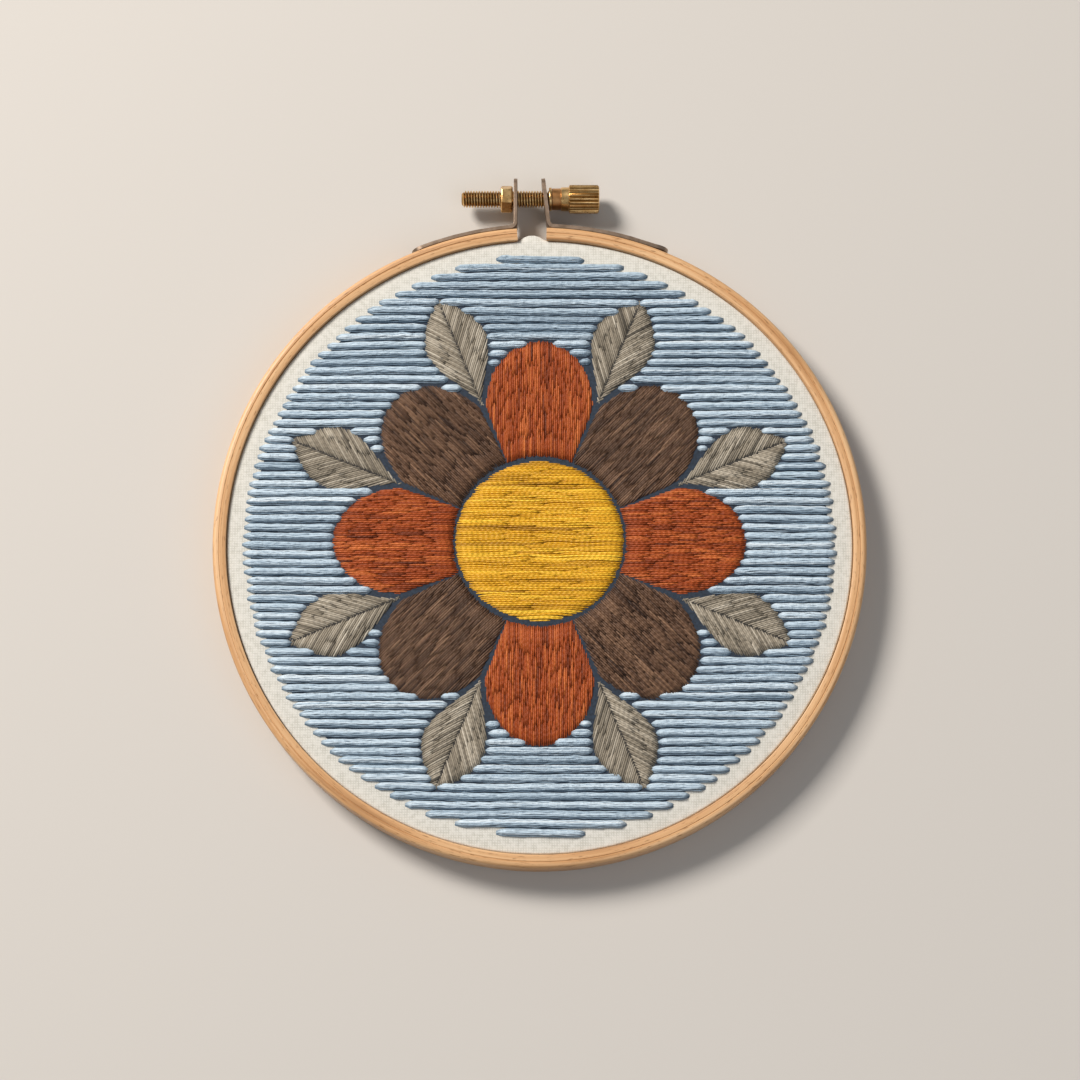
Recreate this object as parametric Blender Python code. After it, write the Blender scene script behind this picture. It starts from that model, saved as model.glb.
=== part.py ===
"""Embroidery hoop art: cotton stretched in a split beech hoop, worked with a flower on laid rows.

The hoop lies on its back with the worked face up (+Z) and the clamp screw towards +Y.
Every size is in metres. Shapes are drawn about the hoop's own centre, and an empty there
carries them, so that the whole part stands on the middle of its base.
"""

import math

import bmesh
import bpy
from mathutils import Vector

# Outer hoop, a bent strip with a split at the top.
HOOP_RADIUS = 0.0800
HOOP_WALL = 0.0033
HOOP_HEIGHT = 0.0095
OUTER_ROUNDING = 0.0011
BACK_ROUNDING = 0.0008
INNER_CHAMFER = 0.0003
GROOVE_WIDTH = 0.00035
GROOVE_DEPTH = 0.00022
SPLIT_LEFT = -0.0056
SPLIT_RIGHT = 0.0017
HOOP_STEPS = 96

# Running gap between neighbouring pieces.
GAP = 0.0003

# Ground cloth, drawn over the inner hoop.
CLOTH_THICKNESS = 0.0010
CLOTH_BELOW_RIM = 0.0010
CLOTH_HEM_HEIGHT = 0.0010
PUCKER_DEPTH = 0.0019
PUCKER_HALF_WIDTH = 0.0029
PUCKER_ARC = math.radians(5.4)
PUCKER_STEPS = 10
CLOTH_STEPS = 90

# Inner hoop, seen from behind.
INNER_WALL = 0.0040

# Clamp brackets, bent from a metal strip.
BRACKET_THICKNESS = 0.0009
BRACKET_WIDTH = 0.0067
BRACKET_BEND = 0.0015
BRACKET_CORNER = 0.0026
STRIP_STEPS = 9
LIFTED_STEPS = 1.5
BEND_STEPS = 5
EAR_TOP = 0.0938
STRIP_REACH = 0.0319
RIGHT_EAR_BASE = 0.0024
RIGHT_EAR_TOP = 0.00085
STRIP_LIFT = 0.0005
EAR_HOLE_RADIUS = 0.00245
HOLE_STEPS = 24
DRILL_LENGTH = 6 * BRACKET_THICKNESS

# Clamp screw, its nut and its washer.
SCREW_FROM_CENTRE = 0.0887
SCREW_TIP = -0.01965
THREAD_RADIUS = 0.0020
THREAD_DEPTH = 0.0004
THREAD_PITCH = 0.0007
THREAD_STEPS = 12
COLLAR_START = 0.00335
COLLAR_RADIUS = 0.0030
HEAD_CHAMFER = 0.00022
HEAD_START = 0.00736
HEAD_END = 0.01497
HEAD_RADIUS = 0.00358
RIDGE_DEPTH = 0.00028
RIDGES = 24
NUT_THICKNESS = 0.0030
NUT_FLATS = 0.0061
NUT_CHAMFER = 0.0003
NUT_BORE_RADIUS = 0.0024
WASHER_START = 0.00235
WASHER_THICKNESS = 0.0007
WASHER_RADIUS = 0.00295
WASHER_EDGE = 0.00012
WASHER_STEPS = 28

# Needlework.
WORKED_RADIUS = 0.0723
ROW_PITCH = 0.0022
ROW_FLOOR = 0.00045
ROW_RISE = 0.00040
FIELD_RIM = 0.00045
FIELD_CROWN = 0.00090
FIELD_TOP_SHARE = 0.78
CENTRE_RADIUS = 0.0200
PETALS = 8
PETAL_TIP = 0.0500
PETAL_MIDDLE = 0.0340
PETAL_HALF_WIDTH = 0.0133
PETAL_GAP = 2 * GAP / 3
LEAF_START = 0.0370
LEAF_TIP = 0.0655
LEAF_HALF_WIDTH = 0.0075
LEAF_SKEW = 1.3

# Heights and radii that follow from the sizes above.
CENTRE_Y = -(EAR_TOP - HOOP_RADIUS) / 2
SPLIT_MIDDLE = (SPLIT_LEFT + SPLIT_RIGHT) / 2
HOOP_BORE = HOOP_RADIUS - HOOP_WALL
CLOTH_TOP = HOOP_HEIGHT - CLOTH_BELOW_RIM
CLOTH_RADIUS = HOOP_BORE - GAP
INNER_RADIUS = CLOTH_RADIUS - CLOTH_THICKNESS - GAP
INNER_HEIGHT = CLOTH_TOP - CLOTH_THICKNESS - GAP
FIELD_BASE = CLOTH_TOP + GAP
SCREW_HEIGHT = HOOP_HEIGHT / 2


def clear_scene():
    """Remove whatever the file starts with."""
    for item in list(bpy.data.objects):
        bpy.data.objects.remove(item, do_unlink=True)


def linear(hex_colour):
    """Turn an sRGB hex colour into linear red, green, blue and alpha."""
    channels = [int(hex_colour[i : i + 2], 16) / 255 for i in (1, 3, 5)]
    return [c / 12.92 if c <= 0.04045 else ((c + 0.055) / 1.055) ** 2.4 for c in channels] + [1.0]


def material(name, hex_colour, roughness, metallic=0.0):
    """Make a plain finish of one colour."""
    finish = bpy.data.materials.new(name)
    finish.use_nodes = True
    shader = finish.node_tree.nodes["Principled BSDF"]
    shader.inputs["Base Color"].default_value = linear(hex_colour)
    shader.inputs["Roughness"].default_value = roughness
    shader.inputs["Metallic"].default_value = metallic
    return finish


def piece(name, bm, finish, parent, sharp_angle=35):
    """Turn a bmesh into a named object on the hoop, shaded smooth but for its sharp edges."""
    bmesh.ops.remove_doubles(bm, verts=bm.verts, dist=1e-7)
    bmesh.ops.recalc_face_normals(bm, faces=bm.faces)
    mesh = bpy.data.meshes.new(name)
    bm.to_mesh(mesh)
    bm.free()
    mesh.shade_smooth()
    mesh.set_sharp_from_angle(angle=math.radians(sharp_angle))
    mesh.materials.append(finish)
    part = bpy.data.objects.new(name, mesh)
    part.parent = parent
    bpy.context.scene.collection.objects.link(part)
    return part


def cutter(name, bm, parent):
    """Make a shape that only cuts or joins others and isn't a piece itself."""
    tool = piece(name, bm, material(name, "#808080", 0.5), parent)
    tool.hide_render = True
    tool.display_type = "WIRE"
    return tool


def boolean(part, tool, operation):
    """Cut, join or trim a piece with a tool shape."""
    modifier = part.modifiers.new(f"{operation.lower()}_{tool.name}", "BOOLEAN")
    modifier.operation = operation
    modifier.object = tool
    modifier.solver = "EXACT"


def arc(centre, radius, start, end, steps):
    """Points along an arc, with its angles in radians."""
    angles = [start + (end - start) * i / steps for i in range(steps + 1)]
    return [(centre[0] + radius * math.cos(a), centre[1] + radius * math.sin(a)) for a in angles]


def outline(bm, points):
    """Draw a closed outline through 3-D points, and return its points and edges."""
    corners = [bm.verts.new(p) for p in points]
    sides = [bm.edges.new(pair) for pair in zip(corners, corners[1:] + corners[:1])]
    return corners, sides


def turned(bm, profile, sweeps, start_angle=math.pi / 2):
    """Turn a closed (radius, height) profile about Z, clockwise from above, in one or more sweeps."""
    direction = Vector((math.cos(start_angle), math.sin(start_angle), 0))
    first, sides = outline(bm, [direction * r + Vector((0, 0, z)) for r, z in profile])
    last = first + sides
    for angle, steps in sweeps:
        spun = bmesh.ops.spin(
            bm, geom=last, cent=(0, 0, 0), axis=(0, 0, 1), angle=-angle, steps=steps
        )
        last = spun["geom_last"]
    return first, [item for item in last if isinstance(item, bmesh.types.BMVert)]


def prism(bm, points, low, high):
    """Raise a flat outline from one height to another."""
    corners, _ = outline(bm, [(x, y, low) for x, y in points])
    base = bm.faces.new(corners)
    raised = bmesh.ops.extrude_face_region(bm, geom=[base])["geom"]
    top = [item for item in raised if isinstance(item, bmesh.types.BMVert)]
    bmesh.ops.translate(bm, verts=top, vec=(0, 0, high - low))
    return [item for item in raised if isinstance(item, bmesh.types.BMFace)]


def make_outer_hoop(parent, finish):
    """The split hoop, rounded outside, with a fine groove round its face."""
    groove_end = HOOP_RADIUS - OUTER_ROUNDING
    profile = [
        (HOOP_BORE + INNER_CHAMFER, 0),
        (HOOP_BORE, INNER_CHAMFER),
        (HOOP_BORE, HOOP_HEIGHT - INNER_CHAMFER),
        (HOOP_BORE + INNER_CHAMFER, HOOP_HEIGHT),
        (groove_end - GROOVE_WIDTH, HOOP_HEIGHT),
        (groove_end - GROOVE_WIDTH / 2, HOOP_HEIGHT - GROOVE_DEPTH),
    ]
    profile += reversed(
        arc((groove_end, HOOP_HEIGHT - OUTER_ROUNDING), OUTER_ROUNDING, 0, math.pi / 2, 3)
    )
    profile += reversed(
        arc((HOOP_RADIUS - BACK_ROUNDING, BACK_ROUNDING), BACK_ROUNDING, -math.pi / 2, 0, 2)
    )
    middle = HOOP_RADIUS - HOOP_WALL / 2
    right_end = math.asin(SPLIT_RIGHT / middle)
    left_end = math.asin(-SPLIT_LEFT / middle)
    bm = bmesh.new()
    first, last = turned(
        bm,
        profile,
        [(math.tau - right_end - left_end, HOOP_STEPS)],
        math.pi / 2 - right_end,
    )
    bm.faces.new(first)
    bm.faces.new(last)
    piece("outer_hoop", bm, finish, parent)


def make_inner_hoop(parent, finish):
    """The closed hoop that the cloth is drawn over."""
    bore = INNER_RADIUS - INNER_WALL
    profile = [
        (bore + INNER_CHAMFER, 0),
        (bore, INNER_CHAMFER),
        (bore, INNER_HEIGHT - INNER_CHAMFER),
        (bore + INNER_CHAMFER, INNER_HEIGHT),
        (INNER_RADIUS - INNER_CHAMFER, INNER_HEIGHT),
        (INNER_RADIUS, INNER_HEIGHT - INNER_CHAMFER),
        (INNER_RADIUS, INNER_CHAMFER),
        (INNER_RADIUS - INNER_CHAMFER, 0),
    ]
    bm = bmesh.new()
    turned(bm, profile, [(math.tau, HOOP_STEPS)])
    piece("inner_hoop", bm, finish, parent)


def pucker(x):
    """How far the cloth's side swells into the split, as a share of its depth."""
    across = abs(x - SPLIT_MIDDLE) / PUCKER_HALF_WIDTH
    return math.cos(across * math.pi / 2) if across < 1 else 0.0


def make_cloth(parent, finish):
    """One sheet: the flat face, its edge rolled over the inner hoop, and its side down to the hem."""
    roll = CLOTH_THICKNESS
    side_top = CLOTH_TOP - roll
    inside = CLOTH_RADIUS - CLOTH_THICKNESS
    under = CLOTH_TOP - CLOTH_THICKNESS
    profile = [(0, CLOTH_TOP)]
    profile += reversed(arc((CLOTH_RADIUS - roll, side_top), roll, 0, math.pi / 2, 3))
    profile += [
        (CLOTH_RADIUS, CLOTH_HEM_HEIGHT),
        (inside, CLOTH_HEM_HEIGHT),
        (inside, under - GAP),
        (inside - GAP, under),
        (0, under),
    ]
    split_angle = math.asin(-SPLIT_MIDDLE / CLOTH_RADIUS)
    bm = bmesh.new()
    turned(
        bm,
        profile,
        [(math.tau - PUCKER_ARC, CLOTH_STEPS), (PUCKER_ARC, PUCKER_STEPS)],
        math.pi / 2 + split_angle - PUCKER_ARC / 2,
    )
    for corner in bm.verts:
        out = Vector((corner.co.x, corner.co.y, 0))
        on_side = out.length > inside - GAP / 2 and corner.co.y > 0
        if on_side:
            swell = PUCKER_DEPTH * pucker(corner.co.x)
            sunk = min(1.0, (CLOTH_TOP - corner.co.z) / roll)
            corner.co += out.normalized() * swell * sunk
    piece("cloth", bm, finish, parent)


def bracket_path(side, base_x, top_x, lift):
    """The middle line of a bracket in plan, from the strip's far end to the top of the ear.

    side is -1 for the left bracket and 1 for the right one.
    """
    radius = HOOP_RADIUS + GAP + BRACKET_THICKNESS / 2
    foot = Vector((base_x, HOOP_RADIUS))
    rise = (Vector((top_x, EAR_TOP)) - foot).normalized()
    inward = Vector((rise.y, -rise.x)) * side
    beside = foot + inward * BRACKET_BEND
    along = -beside.dot(rise) + math.sqrt(
        beside.dot(rise) ** 2 - beside.length_squared + (radius + BRACKET_BEND) ** 2
    )
    bend = beside + rise * along
    far_angle = math.pi / 2 - side * math.asin(STRIP_REACH / radius)
    near_angle = math.atan2(bend.y, bend.x)
    points = []
    for i in range(STRIP_STEPS):
        angle = far_angle + (near_angle - far_angle) * i / STRIP_STEPS
        raised = radius + lift * max(0.0, 1 - i / LIFTED_STEPS) ** 2
        points.append((raised * math.cos(angle), raised * math.sin(angle)))
    start = near_angle + math.pi
    turn = (math.atan2(-inward.y, -inward.x) - start + math.pi) % math.tau - math.pi
    points += arc(bend, BRACKET_BEND, start, start + turn, BEND_STEPS)
    points.append((top_x, EAR_TOP))
    return points


def make_bracket(name, side, base_x, top_x, lift, parent, finish):
    """A metal strip along the hoop, bent up into an ear with a hole for the screw."""
    low = SCREW_HEIGHT - BRACKET_WIDTH / 2
    bm = bmesh.new()
    line = [bm.verts.new((x, y, low)) for x, y in bracket_path(side, base_x, top_x, lift)]
    sides = [bm.edges.new(pair) for pair in zip(line, line[1:])]
    raised = bmesh.ops.extrude_edge_only(bm, edges=sides)["geom"]
    top = [item for item in raised if isinstance(item, bmesh.types.BMVert)]
    bmesh.ops.translate(bm, verts=top, vec=(0, 0, BRACKET_WIDTH))
    ends = [v for v in bm.verts if len(v.link_edges) == 2]
    bmesh.ops.bevel(
        bm,
        geom=ends,
        offset=BRACKET_CORNER,
        segments=4,
        profile=0.5,
        affect="VERTICES",
        material=-1,
    )
    bracket = piece(name, bm, finish, parent)
    wall = bracket.modifiers.new("wall", "SOLIDIFY")
    wall.thickness = BRACKET_THICKNESS
    wall.offset = 0
    wall.use_even_offset = True

    hole = bmesh.new()
    bmesh.ops.create_cone(
        hole,
        cap_ends=True,
        segments=HOLE_STEPS,
        radius1=EAR_HOLE_RADIUS,
        radius2=EAR_HOLE_RADIUS,
        depth=DRILL_LENGTH,
    )
    drill = cutter(f"{name}_drill", hole, parent)
    climb = (SCREW_FROM_CENTRE - HOOP_RADIUS) / (EAR_TOP - HOOP_RADIUS)
    drill.location = (base_x + (top_x - base_x) * climb, SCREW_FROM_CENTRE, SCREW_HEIGHT)
    drill.rotation_euler = (0, math.pi / 2, 0)
    boolean(bracket, drill, "DIFFERENCE")


def on_screw_axis(part, x):
    """Put a piece that was turned about its own Z on the screw's axis, with that axis along +X."""
    part.location = (x, SCREW_FROM_CENTRE, SCREW_HEIGHT)
    part.rotation_euler = (0, math.pi / 2, 0)


def ring_stack(bm, rings, segments):
    """Grow a round body from (height, even radius, odd radius) rings, closed at both ends."""
    start = bmesh.ops.create_circle(bm, segments=segments, radius=1.0)
    order = {
        v: round(math.atan2(v.co.y, v.co.x) / math.tau * segments) % 2 for v in start["verts"]
    }
    edges = list(bm.edges)
    bm.faces.new(sorted(order, key=lambda v: math.atan2(v.co.y, v.co.x)))
    for number, (height, even, odd) in enumerate(rings):
        if number:
            grown = bmesh.ops.extrude_edge_only(bm, edges=edges)["geom"]
            edges = [item for item in grown if isinstance(item, bmesh.types.BMEdge)]
            verts = [item for item in grown if isinstance(item, bmesh.types.BMVert)]
            edges = [e for e in edges if all(v in verts for v in e.verts)]
            order = {
                v: round(math.atan2(v.co.y, v.co.x) / math.tau * segments) % 2 for v in verts
            }
        for corner, is_odd in order.items():
            angle = math.atan2(corner.co.y, corner.co.x)
            radius = odd if is_odd else even
            corner.co = (radius * math.cos(angle), radius * math.sin(angle), height)
    bm.faces.new(sorted(order, key=lambda v: math.atan2(v.co.y, v.co.x)))


def make_thread(parent):
    """The screw's thread, a right-hand helix cut square at its inner end and tapered at its tip."""
    root = THREAD_RADIUS - THREAD_DEPTH
    length = COLLAR_START - SCREW_TIP + THREAD_PITCH
    rows = 2 * math.ceil(length / THREAD_PITCH) + 4
    bm = bmesh.new()
    line = []
    for row in range(rows):
        radius = THREAD_RADIUS if row % 2 else root
        line.append(bm.verts.new((radius, 0, (row / 2 - 1.5) * THREAD_PITCH)))
    edges = [bm.edges.new(pair) for pair in zip(line, line[1:])]
    bmesh.ops.spin(
        bm,
        geom=line + edges,
        cent=(0, 0, 0),
        axis=(0, 0, 1),
        angle=math.tau,
        steps=THREAD_STEPS,
        dvec=(0, 0, THREAD_PITCH / THREAD_STEPS),
    )
    bmesh.ops.remove_doubles(bm, verts=bm.verts, dist=1e-6)
    for height, outwards in ((0, -1), (length, 1)):
        cut = bmesh.ops.bisect_plane(
            bm,
            geom=bm.verts[:] + bm.edges[:] + bm.faces[:],
            plane_co=(0, 0, height),
            plane_no=(0, 0, outwards),
            clear_outer=True,
        )
        rim = [item for item in cut["geom_cut"] if isinstance(item, bmesh.types.BMEdge)]
        bmesh.ops.edgeloop_fill(bm, edges=rim)
    for corner in bm.verts:
        widest = root - THREAD_DEPTH / 2 + corner.co.z
        reach = math.hypot(corner.co.x, corner.co.y)
        if reach > widest:
            corner.co.x *= widest / reach
            corner.co.y *= widest / reach
    thread = cutter("thread_tool", bm, parent)
    on_screw_axis(thread, SCREW_TIP)
    return thread


def make_screw(parent, finish):
    """Thread, collar and ridged head in one piece of brass."""
    chamfer = HEAD_CHAMFER
    valley = HEAD_RADIUS - RIDGE_DEPTH
    rings = [
        (COLLAR_START, COLLAR_RADIUS - chamfer, COLLAR_RADIUS - chamfer),
        (COLLAR_START + chamfer, COLLAR_RADIUS, COLLAR_RADIUS),
        (HEAD_START - chamfer, COLLAR_RADIUS, COLLAR_RADIUS),
        (HEAD_START, valley - chamfer, valley - chamfer),
        (HEAD_START + chamfer, HEAD_RADIUS, valley),
        (HEAD_END - chamfer, HEAD_RADIUS, valley),
        (HEAD_END, valley - chamfer, valley - chamfer),
    ]
    bm = bmesh.new()
    ring_stack(bm, rings, 2 * RIDGES)
    screw = piece("screw", bm, finish, parent)
    on_screw_axis(screw, 0)
    boolean(screw, make_thread(parent), "UNION")


def make_nut(parent, finish):
    """A six-sided nut against the left ear, one flat facing up."""
    corner_radius = NUT_FLATS / math.sqrt(3)
    bm = bmesh.new()
    bmesh.ops.create_cone(
        bm,
        cap_ends=True,
        segments=6,
        radius1=corner_radius,
        radius2=corner_radius,
        depth=NUT_THICKNESS,
    )
    rims = [e for e in bm.edges if abs(e.verts[0].co.z - e.verts[1].co.z) < 1e-6]
    bmesh.ops.bevel(
        bm, geom=rims, offset=NUT_CHAMFER, segments=1, profile=0.5, affect="EDGES", material=-1
    )
    nut = piece("nut", bm, finish, parent)
    ear_face = SPLIT_LEFT - BRACKET_THICKNESS
    on_screw_axis(nut, ear_face - GAP - NUT_THICKNESS / 2)

    bore = bmesh.new()
    bmesh.ops.create_cone(
        bore,
        cap_ends=True,
        segments=HOLE_STEPS,
        radius1=NUT_BORE_RADIUS,
        radius2=NUT_BORE_RADIUS,
        depth=2 * NUT_THICKNESS,
    )
    drill = cutter("nut_drill", bore, parent)
    on_screw_axis(drill, nut.location.x)
    boolean(nut, drill, "DIFFERENCE")


def make_washer(parent, finish):
    """A thin washer between the right ear and the screw's collar."""
    profile = [
        (NUT_BORE_RADIUS, 0),
        (NUT_BORE_RADIUS, WASHER_THICKNESS),
        (WASHER_RADIUS - WASHER_EDGE, WASHER_THICKNESS),
        (WASHER_RADIUS, WASHER_THICKNESS - WASHER_EDGE),
        (WASHER_RADIUS, WASHER_EDGE),
        (WASHER_RADIUS - WASHER_EDGE, 0),
    ]
    bm = bmesh.new()
    turned(bm, profile, [(math.tau, WASHER_STEPS)])
    washer = piece("washer", bm, finish, parent)
    on_screw_axis(washer, WASHER_START)


def round_about(points, angle):
    """Turn flat points about the hoop's centre."""
    c, s = math.cos(angle), math.sin(angle)
    return [(x * c - y * s, x * s + y * c) for x, y in points]


def petal_half_width(along):
    """Half the width of a petal at a distance from the centre: a wedge, then rounded off."""
    sector = along * math.tan(math.pi / PETALS) - PETAL_GAP
    beyond = max(0.0, along - PETAL_MIDDLE) / (PETAL_TIP - PETAL_MIDDLE)
    return min(sector, PETAL_HALF_WIDTH * math.sqrt(1 - beyond**2))


def petal_outline(direction):
    """A petal: a wedge from the centre field, with a rounded end."""
    start = CENTRE_RADIUS + 2 * GAP
    reach = PETAL_TIP - PETAL_MIDDLE
    right = [(PETAL_MIDDLE, petal_half_width(PETAL_MIDDLE))]
    for i in range(1, 7):
        along = PETAL_MIDDLE + reach * math.sin(i * math.pi / 14)
        right.append((along, petal_half_width(along)))
    right.append((PETAL_TIP, 0))
    spread = math.atan2(petal_half_width(start), start)
    base = arc((0, 0), math.hypot(start, petal_half_width(start)), -spread, spread, 4)
    left = [(x, -y) for x, y in reversed(right[:-1])]
    return round_about(base + right + left, direction)


def leaf_outline(direction, spare=0.0):
    """A leaf pointed at both ends, spare wider all round."""
    steps = 10
    length = LEAF_TIP - LEAF_START
    right = []
    for i in range(1, steps):
        t = i / steps
        half = LEAF_HALF_WIDTH * math.sin(math.pi * t**LEAF_SKEW) + spare
        right.append((LEAF_START + length * t, half))
    left = [(x, -y) for x, y in reversed(right)]
    ends = [(LEAF_TIP + 2 * spare, 0)]
    return round_about([(LEAF_START - spare, 0)] + right + ends + left, direction)


def rosette_outline(spare):
    """The edge of all the petals together, spare wider all round."""
    long = PETAL_TIP - PETAL_MIDDLE + spare
    wide = PETAL_HALF_WIDTH + spare
    steps = 16
    points = []
    for i in range(PETALS * steps):
        slope = (i % steps / steps - 0.5) * math.tau / PETALS
        a = (math.cos(slope) / long) ** 2 + (math.sin(slope) / wide) ** 2
        b = PETAL_MIDDLE * math.cos(slope) / long**2
        c = (PETAL_MIDDLE / long) ** 2 - 1
        radius = (b + math.sqrt(max(0.0, b * b - a * c))) / a
        angle = (i / steps - 0.5) * math.tau / PETALS
        points.append((radius * math.cos(angle), radius * math.sin(angle)))
    return points


def make_rows(parent, finish):
    """The ground of laid rows, a ribbed disc with an opening in the flower's shape."""
    count = 2 * math.ceil(WORKED_RADIUS / ROW_PITCH)
    half = count * ROW_PITCH / 2
    floor = FIELD_BASE + ROW_FLOOR
    points = [(half, FIELD_BASE), (-half, FIELD_BASE)]
    for row in range(count):
        low = -half + row * ROW_PITCH
        points += [(low, floor), (low + ROW_PITCH / 2, floor + ROW_RISE)]
    points.append((half, floor))
    bm = bmesh.new()
    corners, _ = outline(bm, [(-half, y, z) for y, z in points])
    end = bm.faces.new(corners)
    drawn = bmesh.ops.extrude_face_region(bm, geom=[end])["geom"]
    far = [item for item in drawn if isinstance(item, bmesh.types.BMVert)]
    bmesh.ops.translate(bm, verts=far, vec=(2 * half, 0, 0))
    rows = piece("rows", bm, finish, parent)

    low, high = CLOTH_TOP, FIELD_BASE + 2 * FIELD_CROWN
    trim = bmesh.new()
    prism(trim, arc((0, 0), WORKED_RADIUS, 0, math.tau, 80)[:-1], low, high)
    boolean(rows, cutter("rows_trim", trim, parent), "INTERSECT")
    flower = bmesh.new()
    prism(flower, rosette_outline(GAP), low, high)
    boolean(rows, cutter("flower_opening", flower, parent), "DIFFERENCE")
    leaves = bmesh.new()
    for number in range(PETALS):
        prism(leaves, leaf_outline((number + 0.5) * math.tau / PETALS, GAP), low, high)
    boolean(rows, cutter("leaf_openings", leaves, parent), "DIFFERENCE")


def make_field(name, points, middle, parent, finish):
    """A padded field of satin stitches, raised from its rim to a flat crown."""
    bm = bmesh.new()
    top = prism(bm, points, FIELD_BASE, FIELD_BASE + FIELD_RIM)
    raised = bmesh.ops.extrude_face_region(bm, geom=top)["geom"]
    bmesh.ops.delete(bm, geom=top, context="FACES_ONLY")
    crown = [item for item in raised if isinstance(item, bmesh.types.BMVert)]
    for corner in crown:
        corner.co.x = middle[0] + (corner.co.x - middle[0]) * FIELD_TOP_SHARE
        corner.co.y = middle[1] + (corner.co.y - middle[1]) * FIELD_TOP_SHARE
        corner.co.z = FIELD_BASE + FIELD_CROWN
    piece(name, bm, finish, parent)


def make_flower(parent, centre_thread, petal_threads, leaf_thread):
    """The flower: a round centre, petals in two colours by turns, and a leaf behind each gap."""
    disc = arc((0, 0), CENTRE_RADIUS, 0, math.tau, 48)[:-1]
    make_field("centre", disc, (0, 0), parent, centre_thread)
    petal_middle = (CENTRE_RADIUS + PETAL_TIP) / 2
    leaf_middle = (LEAF_START + LEAF_TIP) / 2
    for number in range(PETALS):
        direction = number * math.tau / PETALS
        middle = round_about([(petal_middle, 0)], direction)[0]
        thread = petal_threads[number % 2]
        make_field(f"petal_{number + 1}", petal_outline(direction), middle, parent, thread)
        direction += math.pi / PETALS
        middle = round_about([(leaf_middle, 0)], direction)[0]
        make_field(f"leaf_{number + 1}", leaf_outline(direction), middle, parent, leaf_thread)


def main():
    """Build every piece round an empty at the hoop's centre."""
    clear_scene()
    centre = bpy.data.objects.new("hoop_centre", None)
    centre.location = (0, CENTRE_Y, 0)
    bpy.context.scene.collection.objects.link(centre)

    beech = material("beech", "#DDB080", 0.5)
    cotton = material("cotton", "#E2E0D6", 0.9)
    nickel = material("nickel_strip", "#B8A08A", 0.4, 0.9)
    brass = material("brass", "#B98F3E", 0.3, 1.0)
    blue = material("blue_thread", "#9FB8CF", 0.7)
    yellow = material("yellow_thread", "#E8BE2A", 0.65)
    rust = material("rust_thread", "#B5531F", 0.7)
    brown = material("brown_thread", "#6A5046", 0.75)
    grey = material("grey_thread", "#8E8A82", 0.75)

    make_outer_hoop(centre, beech)
    make_inner_hoop(centre, beech)
    make_cloth(centre, cotton)
    left_ear = SPLIT_LEFT - BRACKET_THICKNESS / 2
    make_bracket("bracket_left", -1, left_ear, left_ear, 0, centre, nickel)
    make_bracket(
        "bracket_right", 1, RIGHT_EAR_BASE, RIGHT_EAR_TOP, STRIP_LIFT, centre, nickel
    )
    make_screw(centre, brass)
    make_nut(centre, brass)
    make_washer(centre, brass)
    make_rows(centre, blue)
    make_flower(centre, yellow, (rust, brown), grey)


main()
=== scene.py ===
"""Embroidery hoop art: the beech hoop, its brass clamp, the stretched cotton and the needlework.

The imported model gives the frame. Each sub-assembly is a class that builds finer pieces in the
places of the frame's nodes and dresses them with procedural materials.
"""

import logging
import math
import random
from dataclasses import dataclass
from enum import Enum
from typing import Any

import bmesh
import bpy
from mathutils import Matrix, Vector, noise


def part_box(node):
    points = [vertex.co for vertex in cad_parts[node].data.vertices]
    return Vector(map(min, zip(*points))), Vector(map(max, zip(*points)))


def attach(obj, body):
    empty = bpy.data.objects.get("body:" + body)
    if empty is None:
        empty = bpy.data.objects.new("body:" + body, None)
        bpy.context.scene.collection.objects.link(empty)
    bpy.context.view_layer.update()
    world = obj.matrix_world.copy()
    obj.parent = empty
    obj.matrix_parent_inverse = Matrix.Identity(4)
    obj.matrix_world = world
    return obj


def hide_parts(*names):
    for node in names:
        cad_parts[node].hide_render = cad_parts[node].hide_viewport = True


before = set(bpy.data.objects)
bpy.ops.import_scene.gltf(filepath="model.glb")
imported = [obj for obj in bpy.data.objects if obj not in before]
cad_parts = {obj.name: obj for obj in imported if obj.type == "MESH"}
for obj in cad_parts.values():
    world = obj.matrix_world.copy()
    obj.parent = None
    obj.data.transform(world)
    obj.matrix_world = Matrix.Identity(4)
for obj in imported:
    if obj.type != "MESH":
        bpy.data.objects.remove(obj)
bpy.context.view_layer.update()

MM = 0.001
# Points closer than this are one point.
MERGE = 1e-6
LOG = logging.getLogger("hoop_art")
Point = tuple[float, float]
Piece = bpy.types.Object


class Body(Enum):
    """The rigid bodies of the frame."""

    HOOP = "hoop"
    SCREW = "screw"
    NUT = "nut"


class Slot(Enum):
    """The record's material slots."""

    BEECH = "beech"
    COTTON = "cotton"
    STRIP = "strip_metal"
    BRASS = "brass"
    BLUE = "blue_thread"
    YELLOW = "yellow_thread"
    RUST = "rust_thread"
    BROWN = "brown_thread"
    GREY = "grey_thread"


class Shade(Enum):
    """The floss colours: roughness, then the light, middle, dark and underlay colours; the underlay's
    is dark, painted shade for the gaps between stitches.
    """

    BLUE = (0.50, "#E0ECF4", "#BACFDF", "#4C667C", "#2F4156")
    YELLOW = (0.50, "#F6CC3C", "#E0A81E", "#9A6A0A", "#A87A10")
    RUST = (0.55, "#CC7034", "#A04614", "#5A2206", "#5E260C")
    BROWN = (0.58, "#86674F", "#5E4432", "#2E1B10", "#2E1E18")
    GREY = (0.58, "#C6BEAE", "#918878", "#4C473E", "#44413C")


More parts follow.
